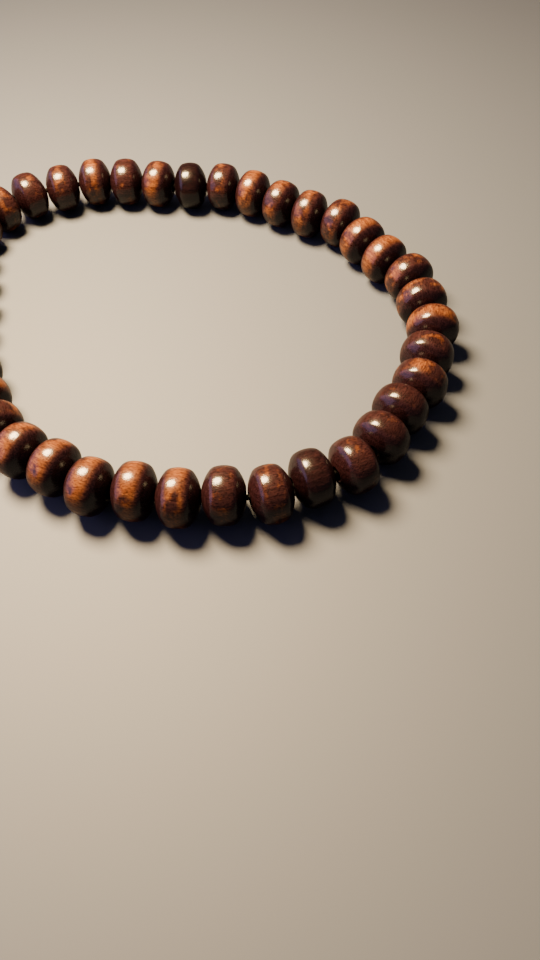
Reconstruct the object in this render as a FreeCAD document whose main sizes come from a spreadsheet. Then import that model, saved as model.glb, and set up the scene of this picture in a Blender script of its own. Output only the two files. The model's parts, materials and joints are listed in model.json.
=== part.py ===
"""Wrist mala: turned wooden beads strung on one elastic cord that is knotted into a loop.

Millimetres, +Z up. The loop lies flat: every bead touches the plane Z = 0 and the cord runs
half a bead's diameter above it. The origin is under the middle of the loop.
"""
import FreeCAD, Part
import math
import os

import Sketcher
from FreeCAD import Placement, Rotation, Vector

# The loop: beads in order along the cord, in groups that one stretch of cord carries.
BEADS_PER_SPAN = 3
# How the loop lies: the turn, in degrees, from each bead to the next, starting at the knot.
TURNS = [
    5, -10, 5, 10, 10, -5, 5, 25, 5, 10, 10, 5, 5,
    15, 5, 10, 25, 5, 5, 5, 15, 15, 15, 10, -5, 20,
    10, -5, 10, 10, 15, -15, 15, 5, 10, 20, 15, 25, 25,
]
FIRST_HEADING = -80
# How far each bead sits to the left of the cord's line, in sixths of the play it has round it.
SHIFTS = [
    -1, 0, 1, 0, 0, 0, -3, -2, 1, 3, -4, 3, -1,
    4, -3, 4, -2, 4, 4, -4, 1, -3, 3, -3, 4, 4,
    -3, 4, 4, 1, -3, 1, 1, 0, -4, 4, 0, -2, -1,
]
# How much of the cord from a bead's middle to a bend the bend's arc takes.
ARC_SHARE = 0.9
# How much of the knot's thickness over the cord its rounded ends take.
KNOT_ROLL = 0.9

doc = FreeCAD.newDocument("mala")


def make_sheet():
    """The driving dimensions, in mm, and the ones that follow from them."""
    driving = {
        "bead_diameter": 8.0,
        "bead_length": 6.0,
        "belt_width": 1.0,
        "shoulder_radius": 1.8,
        "bore_diameter": 2.0,
        "mouth_chamfer": 0.2,
        "bead_clearance": 0.05,
        "cord_diameter": 0.8,
        "knot_clearance": 0.13,
        "knot_length": 2.6,
    }
    # A bead's outline is a straight belt, then each side a shoulder arc that runs smoothly into
    # a domed end; end_offset is how far a dome's centre lies beyond the bead's middle, and
    # face_reach how far the rim of the bore's mouth lies from it.
    derived = {
        "shoulder_rise": "=bead_diameter / 2 - shoulder_radius",
        "shoulder_reach": "=(bead_length - belt_width) / 2",
        "end_radius": "=(shoulder_reach^2 + shoulder_rise^2 - shoulder_radius^2)"
                      " / (2 * (shoulder_reach - shoulder_radius))",
        "end_offset": "=end_radius - bead_length / 2",
        "mouth_radius": "=bore_diameter / 2 + mouth_chamfer",
        "face_reach": "=sqrt(end_radius^2 - mouth_radius^2) - end_offset",
        "half_bore": "=face_reach - mouth_chamfer",
        "knot_diameter": "=bore_diameter - 2 * knot_clearance",
    }
    sheet = doc.addObject("Spreadsheet::Sheet", "sizes")
    for row, (name, value) in enumerate((driving | derived).items(), start=1):
        sheet.set(f"A{row}", name)
        sheet.set(f"B{row}", str(value))
        sheet.setAlias(f"B{row}", name)
    doc.recompute()
    return sheet


sheet = make_sheet()


def size(name):
    return float(getattr(sheet, name))


# ---- the loop's line -------------------------------------------------------------------------

def half_run(turn, shift):
    """Cord from a bead's middle to a bend: the bead just clears the plane that halves the bend."""
    lean = math.radians(abs(turn) / 2)
    if math.sin(lean) < size("mouth_radius") / size("end_radius"):
        touching = size("face_reach") * math.cos(lean) + size("mouth_radius") * math.sin(lean)
    else:
        touching = size("end_radius") - size("end_offset") * math.cos(lean)
    touching += (shift if turn > 0 else -shift) * math.sin(lean)
    return (touching + size("bead_clearance") / 2) / math.cos(lean)


play = size("bore_diameter") / 2 - size("cord_diameter") / 2
shifts = [play * sixths / 6 for sixths in SHIFTS]
before = [half_run(TURNS[index - 1], shift) for index, shift in enumerate(shifts)]
after = [half_run(TURNS[index], shift) for index, shift in enumerate(shifts)]


def lay_loop():
    """Where the cord bends, one corner ahead of each bead, as a closed loop about the origin."""
    runs = []
    for index in range(len(TURNS)):
        heading = math.radians(FIRST_HEADING + sum(TURNS[:index]))
        runs.append(Vector(math.cos(heading), math.sin(heading), 0) * (before[index] + after[index]))
    leftover = sum(runs, Vector()) / len(runs)
    corners = [Vector()]
    for run in runs[:-1]:
        corners.append(corners[-1] + run - leftover)
    box = Part.makePolygon(corners).BoundBox
    middle = Vector(box.Center.x, box.Center.y, -size("bead_diameter") / 2)
    return [corner - middle for corner in corners]


corners = lay_loop()
count = len(corners)
spans = count // BEADS_PER_SPAN


def bead_axis(index):
    return (corners[(index + 1) % count] - corners[index % count]).normalize()


def cord_middle(index):
    """The middle of the cord's run through a bead."""
    index %= count
    share = before[index] / (before[index] + after[index])
    return corners[index] + (corners[(index + 1) % count] - corners[index]) * share


def bead_middle(index):
    return cord_middle(index) + Vector(0, 0, 1).cross(bead_axis(index)) * shifts[index % count]


def bend(index):
    """The cord from one bead's middle to the next bead's: straight, a tangent arc, straight."""
    corner = corners[(index + 1) % count]
    along = bead_axis(index)
    onward = bead_axis(index + 1)
    reach = ARC_SHARE * min(after[index % count], before[(index + 1) % count])
    turn = along.getAngle(onward)
    radius = reach / math.tan(turn / 2)
    arc_start = corner - along * reach
    arc_end = corner + onward * reach
    towards = (onward - along).normalize()
    arc_middle = corner + towards * (radius / math.cos(turn / 2) - radius)
    edges = [
        Part.LineSegment(cord_middle(index), arc_start).toShape(),
        Part.Arc(arc_start, arc_middle, arc_end).toShape(),
        Part.LineSegment(arc_end, cord_middle(index + 1)).toShape(),
    ]
    return edges, radius


# ---- beads -----------------------------------------------------------------------------------

def origin_plane(body, role):
    return next(part for part in body.Origin.OriginFeatures if part.Role == role)


def new_sketch(body, name):
    sketch = body.newObject("Sketcher::SketchObject", name)
    sketch.AttachmentSupport = [(origin_plane(body, "XY_Plane"), "")]
    sketch.MapMode = "FlatFace"
    return sketch


def bind(sketch, kind, *where, name, formula):
    """Adds a dimension to a sketch and ties it to the sheet."""
    index = sketch.addConstraint(Sketcher.Constraint(kind, *where))
    sketch.renameConstraint(index, name)
    sketch.setExpression(f"Constraints.{name}", formula)


def outline_sketch(body, name):
    """Half of a bead's outline: dome, shoulder, belt, shoulder, dome, and back along the axis."""
    radius, offset = size("end_radius"), size("end_offset")
    roll, rise = size("shoulder_radius"), size("shoulder_rise")
    half_belt = size("belt_width") / 2
    top = size("bead_diameter") / 2
    half_length = size("bead_length") / 2
    join = math.atan2(rise, offset + half_belt)
    up = Vector(0, 0, 1)

    def arc(x, y, arc_radius, start, end):
        return Part.ArcOfCircle(Part.Circle(Vector(x, y, 0), up, arc_radius), start, end)

    sketch = new_sketch(body, name)
    sketch.addGeometry([
        arc(-offset, 0, radius, 0, join),
        arc(half_belt, rise, roll, join, math.pi / 2),
        Part.LineSegment(Vector(half_belt, top, 0), Vector(-half_belt, top, 0)),
        arc(-half_belt, rise, roll, math.pi / 2, math.pi - join),
        arc(offset, 0, radius, math.pi - join, math.pi),
        Part.LineSegment(Vector(-half_length, 0, 0), Vector(half_length, 0, 0)),
    ], False)
    sketch.addConstraint([Sketcher.Constraint("Tangent", side, 2, side + 1, 1) for side in range(4)])
    sketch.addConstraint([
        Sketcher.Constraint("Coincident", 4, 2, 5, 1),
        Sketcher.Constraint("Coincident", 5, 2, 0, 1),
        Sketcher.Constraint("PointOnObject", 0, 3, -1),
        Sketcher.Constraint("PointOnObject", 4, 3, -1),
        Sketcher.Constraint("Symmetric", 5, 1, 5, 2, -1, 1),
        Sketcher.Constraint("Symmetric", 2, 1, 2, 2, -2),
    ])
    bind(sketch, "DistanceX", 5, 1, 5, 2, 2 * half_length, name="long", formula="sizes.bead_length")
    bind(sketch, "DistanceX", 2, 2, 2, 1, 2 * half_belt, name="belt", formula="sizes.belt_width")
    bind(sketch, "Radius", 1, roll, name="shoulder", formula="sizes.shoulder_radius")
    bind(sketch, "DistanceY", -1, 1, 1, 3, rise, name="rise", formula="sizes.shoulder_rise")
    return sketch


def bore_sketch(body, name):
    """Half of what the drill and the countersink take out, from past one end to past the other."""
    bore = size("bore_diameter") / 2
    straight = size("half_bore")
    past = size("bead_length") / 2
    flare = bore + past - straight
    points = [(-past, 0), (-past, flare), (-straight, bore), (straight, bore), (past, flare), (past, 0)]
    sketch = new_sketch(body, name)
    for start, end in zip(points, points[1:] + points[:1]):
        sketch.addGeometry(Part.LineSegment(Vector(*start, 0), Vector(*end, 0)), False)
    sides = len(points)
    for side in range(sides):
        sketch.addConstraint(Sketcher.Constraint("Coincident", side, 2, (side + 1) % sides, 1))
    sketch.addConstraint([
        Sketcher.Constraint("Vertical", 0),
        Sketcher.Constraint("Vertical", 4),
        Sketcher.Constraint("PointOnObject", 0, 1, -1),
        Sketcher.Constraint("Symmetric", 0, 1, 4, 2, -1, 1),
        Sketcher.Constraint("Symmetric", 2, 1, 2, 2, -2),
        Sketcher.Constraint("Equal", 0, 4),
    ])
    bind(sketch, "DistanceX", 0, 1, 4, 2, 2 * past, name="past_ends", formula="sizes.bead_length")
    bind(sketch, "DistanceY", -1, 1, 2, 1, bore, name="bore", formula="sizes.bore_diameter / 2")
    bind(sketch, "DistanceX", 2, 1, 2, 2, 2 * straight, name="straight", formula="2 * sizes.half_bore")
    bind(sketch, "DistanceY", 0, 1, 0, 2, flare, name="flare",
         formula="(sizes.bore_diameter + sizes.bead_length) / 2 - sizes.half_bore")
    return sketch


def make_bead(index):
    """A turned bead: revolved about the cord's line, drilled through and countersunk."""
    label = f"bead_{index + 1:02d}"
    body = doc.addObject("PartDesign::Body", label)
    body.Label = label
    outline = outline_sketch(body, f"{label}_outline")
    turned = body.newObject("PartDesign::Revolution", f"{label}_turned")
    turned.Profile = outline
    turned.ReferenceAxis = (outline, ["H_Axis"])
    turned.Angle = 360
    drill = bore_sketch(body, f"{label}_drill")
    bored = body.newObject("PartDesign::Groove", f"{label}_bored")
    bored.Profile = drill
    bored.ReferenceAxis = (drill, ["H_Axis"])
    bored.Angle = 360
    body.Tip = bored
    heading = math.degrees(math.atan2(bead_axis(index).y, bead_axis(index).x))
    body.Placement = Placement(bead_middle(index), Rotation(Vector(0, 0, 1), heading))
    return body


# ---- cord and knot ---------------------------------------------------------------------------

def make_cord_span(number):
    """One stretch of the elastic cord, from inside its first bead to inside the next span's."""
    first = number * BEADS_PER_SPAN
    edges = []
    for index in range(first, first + BEADS_PER_SPAN):
        edges += bend(index)[0]
    route = doc.addObject("Part::Feature", f"route_{number + 1:02d}")
    route.Shape = Part.Wire(edges)
    ring = doc.addObject("Part::Circle", f"section_{number + 1:02d}")
    ring.setExpression("Radius", "sizes.cord_diameter / 2")
    ring.Placement = Placement(cord_middle(first), Rotation(Vector(0, 0, 1), bead_axis(first)))
    label = f"cord_span_{number + 1:02d}"
    span = doc.addObject("Part::Sweep", label)
    span.Label = label
    span.Sections = [ring]
    span.Spine = (route, [f"Edge{edge + 1}" for edge in range(len(edges))])
    span.Solid = True
    span.Frenet = False
    return span


def make_knot(span):
    """The cord's knot, pulled into the bore of the middle bead of its span."""
    middle = BEADS_PER_SPAN // 2
    axis = bead_axis(middle)
    blank = doc.addObject("Part::Cylinder", "knot_blank")
    blank.setExpression("Radius", "sizes.knot_diameter / 2")
    blank.setExpression("Height", "sizes.knot_length")
    blank.Placement = Placement(cord_middle(middle) - axis * size("knot_length") / 2,
                                Rotation(Vector(0, 0, 1), axis))
    doc.recompute()
    rounded = doc.addObject("Part::Fillet", "knot_rounded")
    rounded.Base = blank
    roll = KNOT_ROLL * (size("knot_diameter") - size("cord_diameter")) / 2
    rims = [number for number, edge in enumerate(blank.Shape.Edges, start=1) if edge.Closed]
    rounded.Edges = [(number, roll, roll) for number in rims]
    knot = doc.addObject("Part::Cut", "cord_knot")
    knot.Label = "cord_knot"
    knot.Base = rounded
    knot.Tool = span
    return knot


# ---- build, check and write ------------------------------------------------------------------

def check(node):
    shape = node.Shape
    if shape.isNull() or not shape.isValid() or len(shape.Solids) != 1:
        raise RuntimeError(f"{node.Label} is not one sound solid")


def check_cord(span, number):
    """A swept cord holds its section times its length."""
    first = number * BEADS_PER_SPAN
    length = sum(edge.Length for index in range(first, first + BEADS_PER_SPAN) for edge in bend(index)[0])
    expected = math.pi * size("cord_diameter")**2 / 4 * length
    if abs(span.Shape.Volume / expected - 1) > 0.001:
        raise RuntimeError(f"{span.Label} has the wrong volume")
    return length


beads = [make_bead(index) for index in range(count)]
cord = [make_cord_span(number) for number in range(spans)]
knot = make_knot(cord[0])
doc.recompute()

for item in doc.Objects:
    if {"Invalid", "Error"} & set(item.State):
        raise RuntimeError(f"{item.Label}: {item.State}")
nodes = beads + cord + [knot]
os.makedirs("parts", exist_ok=True)
for node in nodes:
    check(node)
total = sum(check_cord(span, number) for number, span in enumerate(cord))
for node in nodes:
    node.Shape.exportStep(f"parts/{node.Label}.step")
radii = [bend(index)[1] for index in range(count)]
print(f"{count} beads, pitch {total / count:.3f}, cord {total:.1f}, bend radii from {min(radii):.1f}")
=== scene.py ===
import json
import math
import random

import bmesh
import bpy
from mathutils import Matrix, Vector, noise


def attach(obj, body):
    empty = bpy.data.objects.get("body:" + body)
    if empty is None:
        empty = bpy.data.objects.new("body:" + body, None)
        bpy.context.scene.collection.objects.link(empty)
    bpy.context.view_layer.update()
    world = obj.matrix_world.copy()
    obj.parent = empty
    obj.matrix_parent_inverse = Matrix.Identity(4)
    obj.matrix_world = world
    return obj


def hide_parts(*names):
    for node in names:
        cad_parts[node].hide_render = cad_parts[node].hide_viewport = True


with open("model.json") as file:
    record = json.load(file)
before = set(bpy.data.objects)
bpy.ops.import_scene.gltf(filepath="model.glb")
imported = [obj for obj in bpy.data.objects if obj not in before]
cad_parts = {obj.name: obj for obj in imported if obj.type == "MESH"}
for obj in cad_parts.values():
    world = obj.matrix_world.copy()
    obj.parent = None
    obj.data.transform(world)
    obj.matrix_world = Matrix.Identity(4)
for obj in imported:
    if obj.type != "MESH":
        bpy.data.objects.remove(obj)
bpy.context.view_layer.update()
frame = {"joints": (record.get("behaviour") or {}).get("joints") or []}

# ---- The wooden beads ------------------------------------------------------------------------
# Small hardwood beads turned to one shape on a lathe: a short belt round the waist, soft
# shoulders, domed ends and a hole along the grain. They are stained dark red-brown, rubbed back
# to amber in places on the belt, and dipped in clear gloss lacquer. Each turns on the cord.

MM = 0.001
spins = {j["child"]: j for j in frame["joints"] if j["type"] == "hinge"}
bead_names = sorted(spins)
bead_middles = [Vector(spins[name]["pos_m"]) for name in bead_names]
bead_axes = [Vector(spins[name]["axis"]).normalized() for name in bead_names]

bead_radius = 4.0 * MM
bead_half_length = 3.0 * MM
half_belt = 1.15 * MM
crown_radius = 4.2 * MM
shoulder_radius = 1.35 * MM
bore_radius = 1.0 * MM
mouth_round = 0.2 * MM
mouth_steps = 4
dome_steps = 10
shoulder_steps = 9
crown_steps = 6
steps_round = 72
merge_distance = 0.002 * MM
# Turned wood dries a hair out of round: how much, over what length, its middle value, and how
# far out from the hole's line it starts.
out_of_round = 0.035 * MM
swell_length = 5.0 * MM
swell_middle = 0.35
swell_starts = 1.5 * bore_radius

stain_dark = (0.0034, 0.0016, 0.0018, 1)
stain_light = (0.029, 0.0102, 0.0098, 1)
amber_dark = (0.058, 0.0168, 0.0056, 1)
amber_light = (0.140, 0.053, 0.0150, 1)
ring_tint = (0.45, 0.28, 0.22, 1)
fleck_tint = (0.22, 0.13, 0.12, 1)
speck_tint = (0.30, 0.16, 0.12, 1)
# Multiplies the bead ends: real stain pooled in the end grain, plus painted shade and a cool painted
# reflection.
pooled_stain_shade_tint = (0.62, 0.60, 0.85, 1)
soaked_tint = (0.22, 0.22, 0.26, 1)
# How much amber wood shows on a bead: 0 is usual, below it darker, above it more rubbed.
tones = {
    "bead_10": 0.22, "bead_11": 0.16, "bead_12": 0.21, "bead_13": 0.19, "bead_14": -0.06,
    "bead_15": 0.01, "bead_16": -0.27, "bead_17": -0.08, "bead_18": -0.15, "bead_19": -0.16,
    "bead_20": 0.06, "bead_21": -0.10, "bead_22": 0.18, "bead_23": 0.08, "bead_25": 0.24,
    "bead_26": 0.20, "bead_27": 0.08, "bead_28": 0.12, "bead_29": 0.08, "bead_30": 0.18,
    "bead_31": -0.05, "bead_32": -0.45, "bead_33": 0.10, "bead_34": -0.06, "bead_35": 0.10,
    "bead_36": -0.02, "bead_37": -0.07, "bead_38": 0.08,
}


def lathe_profile(bm):
    """The bead's half outline in the XY plane, drawn by swinging one point about each arc's centre."""
    crown = math.asin(half_belt / crown_radius)
    reach = math.sin(crown) * (crown_radius - shoulder_radius)
    rise = bead_radius - crown_radius + math.cos(crown) * (crown_radius - shoulder_radius)
    short = bead_half_length - reach
    end_radius = (short**2 + rise**2 - shoulder_radius**2) / (2 * (short - shoulder_radius))
    offset = end_radius - bead_half_length
    join = math.atan2(rise, offset + reach)
    mouth_angle = math.asin((bore_radius + mouth_round) / end_radius)
    face = end_radius * math.cos(mouth_angle) - offset

    def swing(verts, centre, angle, steps):
        made = bmesh.ops.spin(bm, geom=verts, cent=centre, axis=(0, 0, 1), angle=angle, steps=steps)
        return [v for v in made["geom_last"] if isinstance(v, bmesh.types.BMVert)]

    def draw(verts, to):
        made = bmesh.ops.extrude_vert_indiv(bm, verts=verts)
        made["verts"][0].co = to
        return made["verts"]

    start = [bm.verts.new((0, bore_radius, 0))]
    tip = draw(start, (face - mouth_round, bore_radius, 0))
    tip = swing(tip, (face - mouth_round, bore_radius + mouth_round, 0), math.pi / 2, mouth_steps)
    tip = swing(tip, (-offset, 0, 0), join - mouth_angle, dome_steps)
    tip = swing(tip, (reach, rise, 0), math.pi / 2 - crown - join, shoulder_steps)
    swing(tip, (0, bead_radius - crown_radius, 0), crown, crown_steps)
    half = bm.verts[:] + bm.edges[:]
    bmesh.ops.mirror(bm, geom=half, axis="X", merge_dist=merge_distance)


def turn_bead(seed):
    """One bead at the origin, its hole along X, a hair out of round as turned wood is."""
    bm = bmesh.new()
    lathe_profile(bm)
    bmesh.ops.remove_doubles(bm, verts=bm.verts, dist=merge_distance)
    bmesh.ops.spin(bm, geom=bm.verts[:] + bm.edges[:], cent=(0, 0, 0), axis=(1, 0, 0),
                   angle=math.tau, steps=steps_round, use_merge=True)
    bmesh.ops.remove_doubles(bm, verts=bm.verts, dist=merge_distance)
    bmesh.ops.recalc_face_normals(bm, faces=bm.faces)
    for vertex in bm.verts:
        across = Vector((0, vertex.co.y, vertex.co.z))
        if across.length > swell_starts:
            swell = noise.noise(vertex.co / swell_length + seed) - swell_middle
            vertex.co += vertex.co.normalized() * swell * out_of_round
    return bm


def new_material(name):
    """A node material, its shader, and short ways to add nodes, links and sums to it."""
    material = bpy.data.materials.new(name)
    material.use_nodes = True
    tree = material.node_tree
    shader = tree.nodes["Principled BSDF"]

    def node(kind, **settings):
        made = tree.nodes.new(kind)
        for key, value in settings.items():
            if key in made.inputs:
                made.inputs[key].default_value = value
            else:
                setattr(made, key, value)
        return made

    def wire(source, target):
        if hasattr(source, "is_output"):
            tree.links.new(source, target)
        else:
            target.default_value = source

    def maths(kind, first, second=0.0):
        made = node("ShaderNodeMath", operation=kind)
        wire(first, made.inputs[0])
        wire(second, made.inputs[1])
        return made.outputs[0]

    def between(source, low, high, to_low=0.0, to_high=1.0):
        made = node("ShaderNodeMapRange")
        made.interpolation_type = "SMOOTHSTEP"
        limits = {"Value": source, "From Min": low, "From Max": high, "To Min": to_low, "To Max": to_high}
        for label, value in limits.items():
            wire(value, made.inputs[label])
        return made.outputs["Result"]

    def blend(kind, factor, first, second):
        made = node("ShaderNodeMix", data_type="RGBA", blend_type=kind)
        sockets = {socket.identifier: socket for socket in made.inputs}
        wire(factor, sockets["Factor_Float"])
        wire(first, sockets["A_Color"])
        wire(second, sockets["B_Color"])
        return next(s for s in made.outputs if s.identifier == "Result_Color")

    def grained(source, scale, **settings):
        """A noise stretched along the grain; scale is in turns per mm along and across it."""
        mapping = node("ShaderNodeMapping")
        mapping.inputs["Scale"].default_value = scale
        wire(source, mapping.inputs["Vector"])
        made = node("ShaderNodeTexNoise", Scale=1.0, **settings)
        wire(mapping.outputs["Vector"], made.inputs["Vector"])
        return made.outputs["Fac"]

    return material, shader, node, wire, maths, between, blend, grained


def bead_finish():
    material, shader, node, wire, maths, between, blend, grained = new_material("lacquered_wood")
    grain = node("ShaderNodeAttribute", attribute_name="grain").outputs["Vector"]
    own = node("ShaderNodeAttribute", attribute_name="own").outputs["Vector"]
    tone = node("ShaderNodeAttribute", attribute_name="tone").outputs["Fac"]

    rings = node("ShaderNodeTexWave", wave_type="RINGS", rings_direction="X", wave_profile="SAW",
                 Scale=0.42, Distortion=2.2, Detail=3.0)
    rings.inputs["Detail Scale"].default_value = 0.6
    wire(grain, rings.inputs["Vector"])
    streaks = grained(grain, (0.35, 4.5, 4.5), Detail=6.0, Roughness=0.62)
    pores = grained(grain, (1.3, 8.0, 8.0), Detail=2.0, Roughness=0.5)
    patches = grained(grain, (0.50, 0.34, 0.34), Detail=2.5, Roughness=0.55)
    mottle = grained(own, (0.9, 0.9, 0.9), Detail=4.0, Roughness=0.65)

    split = node("ShaderNodeSeparateXYZ")
    wire(own, split.inputs[0])
    along = maths("ABSOLUTE", split.outputs["X"])

    stain = node("ShaderNodeValToRGB")
    stain.color_ramp.elements[0].position = 0.30
    stain.color_ramp.elements[0].color = stain_dark
    stain.color_ramp.elements[1].position = 0.72
    stain.color_ramp.elements[1].color = stain_light
    uptake = maths("ADD", maths("MULTIPLY", streaks, 0.6), maths("MULTIPLY", mottle, 0.4))
    wire(uptake, stain.inputs["Fac"])

    amber = node("ShaderNodeValToRGB")
    amber.color_ramp.elements[0].position = 0.26
    amber.color_ramp.elements[0].color = amber_dark
    amber.color_ramp.elements[1].position = 0.76
    amber.color_ramp.elements[1].color = amber_light
    wire(streaks, amber.inputs["Fac"])

    # Rubbed patches on the belt show the amber wood; the rest stays under the dark stain.
    ragged = maths("MULTIPLY", maths("SUBTRACT", mottle, 0.5), 0.5)
    rub = maths("ADD", maths("ADD", patches, ragged), tone)
    rub = between(rub, 0.48, 0.70)
    rub = maths("MULTIPLY", rub, between(along, 0.15, 1.75, 1.0, 0.0))
    wood = blend("MIX", rub, stain.outputs["Color"], amber.outputs["Color"])
    ring_dark = between(rings.outputs["Fac"], 0.15, 0.95, 0.0, 0.45)
    wood = blend("MULTIPLY", ring_dark, wood, ring_tint)
    flecks = between(pores, 0.52, 0.68, 0.0, 0.55)
    wood = blend("MULTIPLY", flecks, wood, fleck_tint)
    specks = grained(own, (2.6, 5.5, 5.5), Detail=1.0, Roughness=0.4)
    wood = blend("MULTIPLY", between(specks, 0.50, 0.66, 0.0, 0.70), wood, speck_tint)
    # Stain pools round the hole and in the end grain, and soaks some beads through. The darkening of the
    # ends is also painted shade where the beads meet, and its cool tint is a painted reflection.
    pooled_stain_and_shade = between(maths("ADD", along, maths("MULTIPLY", mottle, 0.9)), 1.25, 2.45, 0.0, 0.92)
    wood = blend("MULTIPLY", pooled_stain_and_shade, wood, pooled_stain_shade_tint)
    soaked = between(tone, -0.40, -0.05, 0.9, 0.0)
    wood = blend("MULTIPLY", soaked, wood, soaked_tint)
    wire(wood, shader.inputs["Base Color"])

    # The stained wood itself hardly shines: the gloss is the clear coat's.
    wire(between(streaks, 0.3, 0.7, 0.48, 0.34), shader.inputs["Roughness"])
    shader.inputs["Specular IOR Level"].default_value = 0.02
    shader.inputs["Coat Weight"].default_value = 0.17
    shader.inputs["Coat Roughness"].default_value = 0.17
    shader.inputs["Coat IOR"].default_value = 2.0

    # Lathe lines, open pores and the odd pinhole show through the lacquer.
    lines = grained(own, (6.0, 0.25, 0.25), Detail=2.0, Roughness=0.5)
    dimples = grained(grain, (1.1, 1.6, 1.6), Detail=2.0, Roughness=0.6)
    cells = node("ShaderNodeTexVoronoi", Scale=0.55)
    wire(grain, cells.inputs["Vector"])
    pinholes = between(cells.outputs["Distance"], 0.035, 0.075, 1.0, 0.0)
    height = maths("ADD", maths("MULTIPLY", lines, 0.25), maths("MULTIPLY", dimples, 0.75))
    height = maths("SUBTRACT", height, maths("MULTIPLY", flecks, 0.20))
    height = maths("SUBTRACT", height, maths("MULTIPLY", pinholes, 0.8))
    for socket, strength in (("Normal", 0.40), ("Coat Normal", 0.12)):
        bump = node("ShaderNodeBump", Strength=strength, Distance=0.00022)
        wire(height, bump.inputs["Height"])
        wire(bump.outputs["Normal"], shader.inputs[socket])
    return material


def note(mesh, name, kind, values):
    """Stores one value per vertex for a material to read."""
    mesh.attributes.new(name, kind, "POINT")
    if kind == "FLOAT_VECTOR":
        flat = [number for value in values for number in value]
        mesh.attributes[name].data.foreach_set("vector", flat)
    else:
        mesh.attributes[name].data.foreach_set("value", values)


def place_piece(name, bm, material, node_name, body, matrix=None, marks=()):
    """Makes a piece of a mesh built at the origin, in place of one node of the model."""
    mesh = bpy.data.meshes.new(name)
    bm.to_mesh(mesh)
    bm.free()
    for mark, kind, values in marks:
        note(mesh, mark, kind, values)
    if matrix is not None:
        mesh.transform(matrix)
    mesh.shade_smooth()
    mesh.materials.append(material)
    piece = bpy.data.objects.new(name, mesh)
    bpy.context.scene.collection.objects.link(piece)
    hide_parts(node_name)
    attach(piece, body)


bead_material = bead_finish()
chance = random.Random(17)
for name, middle, axis in zip(bead_names, bead_middles, bead_axes):
    heart = Vector((chance.uniform(-40, 40), chance.uniform(6, 14), chance.uniform(-40, 40)))
    shade = chance.gauss(0.03, 0.08)
    bm = turn_bead(heart)
    roll = Matrix.Rotation(chance.uniform(0, math.tau), 3, "X")
    bmesh.ops.rotate(bm, verts=bm.verts, cent=(0, 0, 0), matrix=roll)
    # The wood's own coordinates, in mm, so the grain stays in the bead wherever it lies.
    places = [vertex.co / MM for vertex in bm.verts]
    marks = [
        ("own", "FLOAT_VECTOR", places),
        ("grain", "FLOAT_VECTOR", [place + heart for place in places]),
        ("tone", "FLOAT", [tones.get(name, shade)] * len(places)),
    ]
    heading = Matrix.Rotation(math.atan2(axis.y, axis.x), 4, "Z")
    place_piece(name + "_wood", bm, bead_material, name, name,
                Matrix.Translation(middle) @ heading, marks)

# ---- The elastic cord ------------------------------------------------------------------------
# One dark elastic cord, rubber strands in a fine braided sleeve, runs through every bead's hole
# and holds the loop together. It is cut into thirteen stretches that meet inside beads, so that
# each rides on its own part of the stretching loop.

cord_radius = 0.4 * MM
beads_per_span = 3
steps_per_bead = 8
cord_sides = 14
count = len(bead_names)
# The rim of a bead's hole lies this far short of the bead's half length.
rim_inset = 0.13 * MM
bead_reach = bead_half_length - rim_inset
cord_dark = (0.0008, 0.0006, 0.0006, 1)
cord_light = (0.0040, 0.0029, 0.0025, 1)
worn_tint = (0.5, 0.5, 0.5, 1)
# The braid: strands each way round the cord, and how far they turn along it in radians per mm.
strands_each_way = 6.0
braid_slant = 14.0


def mouth(index, side):
    return bead_middles[index % count] + bead_axes[index % count] * bead_reach * side


# Where the cord crosses from each bead to the next, and which way it goes there.
crossings = [(mouth(index, 1) + mouth(index + 1, -1)) / 2 for index in range(count)]
headings = [(bead_axes[index] + bead_axes[(index + 1) % count]).normalized() for index in range(count)]


def cord_point(place):
    """The cord's line; a whole number plus a half is a bead's middle."""
    index = math.floor(place)
    part = place - index
    start, end = crossings[(index - 1) % count], crossings[index % count]
    pull = (end - start).length
    leave, arrive = headings[(index - 1) % count] * pull, headings[index % count] * pull
    square, cube = part**2, part**3
    return (start * (2 * cube - 3 * square + 1) + leave * (cube - 2 * square + part)
            + end * (3 * square - 2 * cube) + arrive * (cube - square))


def sweep(points, radii, sides):
    """A capped tube along some points, with its length and angle noted for the braid."""
    bm = bmesh.new()
    long = bm.verts.layers.float.new("long")
    round_about = bm.verts.layers.float_vector.new("round_about")
    run = 0.0
    frame_x = None
    ring = None
    for index, point in enumerate(points):
        ahead = points[min(index + 1, len(points) - 1)] - points[max(index - 1, 0)]
        ahead.normalize()
        if frame_x is None:
            frame_x = ahead.orthogonal().normalized()
        frame_x = (frame_x - ahead * frame_x.dot(ahead)).normalized()
        frame_y = ahead.cross(frame_x)
        if index:
            run += (point - points[index - 1]).length / MM
            made = bmesh.ops.extrude_edge_only(bm, edges=ring)
            ring = [edge for edge in made["geom"] if isinstance(edge, bmesh.types.BMEdge)]
            verts = [vert for vert in made["geom"] if isinstance(vert, bmesh.types.BMVert)]
            added = set(verts)
            ring = [edge for edge in ring if added.issuperset(edge.verts)]
        else:
            made = bmesh.ops.create_circle(bm, segments=sides, radius=1.0, cap_ends=False)
            verts = made["verts"]
            ring = bm.edges[:]
            for vert in verts:
                vert[round_about] = vert.co
        for vert in verts:
            turn = vert[round_about]
            vert.co = point + (frame_x * turn.x + frame_y * turn.y) * radii[index]
            vert[long] = run
    bmesh.ops.holes_fill(bm, edges=bm.edges, sides=sides)
    bmesh.ops.recalc_face_normals(bm, faces=bm.faces)
    return bm


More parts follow.
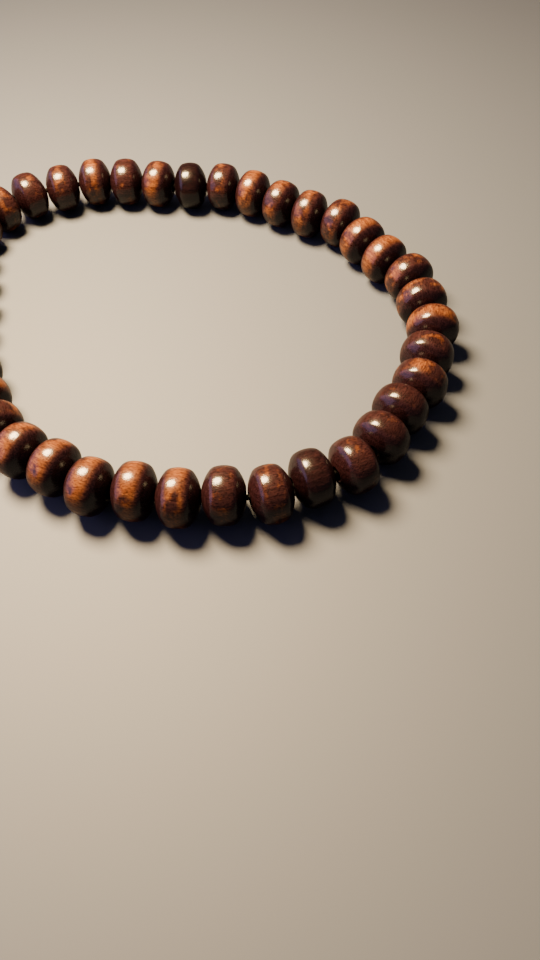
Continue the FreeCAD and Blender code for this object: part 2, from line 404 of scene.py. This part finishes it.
def cord_finish():
    material, shader, node, wire, maths, between, blend = new_material("braided_elastic")[:-1]
    run = node("ShaderNodeAttribute", attribute_name="long").outputs["Fac"]
    split = node("ShaderNodeSeparateXYZ")
    wire(node("ShaderNodeAttribute", attribute_name="round_about").outputs["Vector"], split.inputs[0])
    angle = maths("ARCTAN2", split.outputs["Y"], split.outputs["X"])
    turns = maths("MULTIPLY", angle, strands_each_way)
    slant = maths("MULTIPLY", run, braid_slant)
    over = maths("SINE", maths("ADD", turns, slant))
    under = maths("SINE", maths("SUBTRACT", turns, slant))
    weave = maths("MULTIPLY", over, under)
    fuzz = node("ShaderNodeTexNoise", Scale=9000.0, Detail=3.0)
    wire(node("ShaderNodeTexCoord").outputs["Object"], fuzz.inputs["Vector"])
    shade = blend("MIX", between(weave, -0.8, 0.8), cord_dark, cord_light)
    worn = between(fuzz.outputs["Fac"], 0.35, 0.65, 0.0, 0.6)
    shade = blend("MULTIPLY", worn, shade, worn_tint)
    wire(shade, shader.inputs["Base Color"])
    wire(between(weave, -1.0, 1.0, 0.75, 0.5), shader.inputs["Roughness"])
    shader.inputs["Specular IOR Level"].default_value = 0.08
    bump = node("ShaderNodeBump", Strength=0.6, Distance=0.00005)
    wire(maths("ADD", weave, fuzz.outputs["Fac"]), bump.inputs["Height"])
    wire(bump.outputs["Normal"], shader.inputs["Normal"])
    return material


cord_material = cord_finish()
for span in range(count // beads_per_span):
    start = span * beads_per_span + 0.5
    steps = range(beads_per_span * steps_per_bead + 1)
    line = [cord_point(start + step / steps_per_bead) for step in steps]
    bm = sweep(line, [cord_radius] * len(line), cord_sides)
    node_name = f"cord_span_{span + 1:02d}"
    place_piece(node_name + "_braid", bm, cord_material, node_name, f"strand_{span + 1:02d}")

# ---- The knot --------------------------------------------------------------------------------
# The cord's two ends are tied in a small barrel knot: the end wrapped round the cord three times
# and trimmed. It is pulled into the second bead's hole, where it stays out of sight.

knot_bead = 1
wrap_radius = 0.56 * MM
wrap_strand = 0.29 * MM
wrap_turns = 3
steps_per_turn = 16
wrap_sides = 12
wrap_length = 1.9 * MM
tail_length = 0.30 * MM
trimmed_end = wrap_strand * 0.7

knot_centre = cord_point(knot_bead + 0.5)
knot_ahead = (cord_point(knot_bead + 0.6) - cord_point(knot_bead + 0.4)).normalized()
knot_side = knot_ahead.cross(Vector((0, 0, 1))).normalized()
knot_up = knot_side.cross(knot_ahead)
wrap = []
for step in range(wrap_turns * steps_per_turn + 1):
    share = step / (wrap_turns * steps_per_turn)
    turn = share * wrap_turns * math.tau
    away = knot_side * math.cos(turn) + knot_up * math.sin(turn)
    wrap.append(knot_centre + knot_ahead * wrap_length * (share - 0.5) + away * wrap_radius)
wrap = [wrap[0] - knot_ahead * tail_length] + wrap + [wrap[-1] + knot_ahead * tail_length]
radii = [trimmed_end] + [wrap_strand] * (len(wrap) - 2) + [trimmed_end]
bm = sweep(wrap, radii, wrap_sides)
place_piece("cord_knot_wraps", bm, cord_material, "cord_knot", "strand_01")

# ---- Floor, light and camera -----------------------------------------------------------------
# A plain satin table top that shows pale under a strong warm lamp close above the back left of
# the loop, with a broad cool softbox far to the left and a dim room. The camera is close above
# the near side of the loop.

floor_half_width = 1.5

floor_mesh = bpy.data.meshes.new("floor")
bm = bmesh.new()
bmesh.ops.create_grid(bm, x_segments=1, y_segments=1, size=floor_half_width)
bm.to_mesh(floor_mesh)
bm.free()
floor = bpy.data.objects.new("floor", floor_mesh)
bpy.context.scene.collection.objects.link(floor)
floor_material, shader = new_material("pale_top")[:2]
shader.inputs["Base Color"].default_value = (0.029, 0.036, 0.053, 1)
shader.inputs["Roughness"].default_value = 0.7
shader.inputs["Specular IOR Level"].default_value = 0.7
floor_mesh.materials.append(floor_material)


def softbox(name, shape, place, aim, size, power, colour):
    lamp = bpy.data.lights.new(name, "AREA")
    lamp.shape = shape
    lamp.size = size[0]
    lamp.size_y = size[1]
    lamp.energy = power
    lamp.color = colour
    light = bpy.data.objects.new(name, lamp)
    light.location = place
    light.rotation_euler = (Vector(aim) - Vector(place)).to_track_quat("-Z", "Y").to_euler()
    bpy.context.scene.collection.objects.link(light)


softbox("key", "DISK", place=(-0.056, 0.040, 0.155), aim=(0, 0, 0),
        size=(0.078, 0.078), power=5.2, colour=(1.0, 0.70, 0.36))
softbox("low_strip", "RECTANGLE", place=(-0.70, 0.05, 0.25), aim=(0, 0, 0.02),
        size=(1.20, 0.65), power=7.0, colour=(0.62, 0.50, 1.0))

world = bpy.data.worlds.new("studio")
world.use_nodes = True
world.node_tree.nodes["Background"].inputs["Color"].default_value = (0.86, 0.80, 1.0, 1)
world.node_tree.nodes["Background"].inputs["Strength"].default_value = 0.14
bpy.context.scene.world = world

camera_data = bpy.data.cameras.new("camera")
camera_data.lens = 27.0
camera_data.sensor_width = 36.0
camera_data.clip_start = 0.005
camera = bpy.data.objects.new("camera", camera_data)
camera.rotation_mode = "ZYX"
camera.location = (0.01289, -0.08764, 0.08127)
camera.rotation_euler = (math.radians(90 - 54.72), 0, math.radians(-1.0))
bpy.context.scene.collection.objects.link(camera)
bpy.context.scene.camera = camera
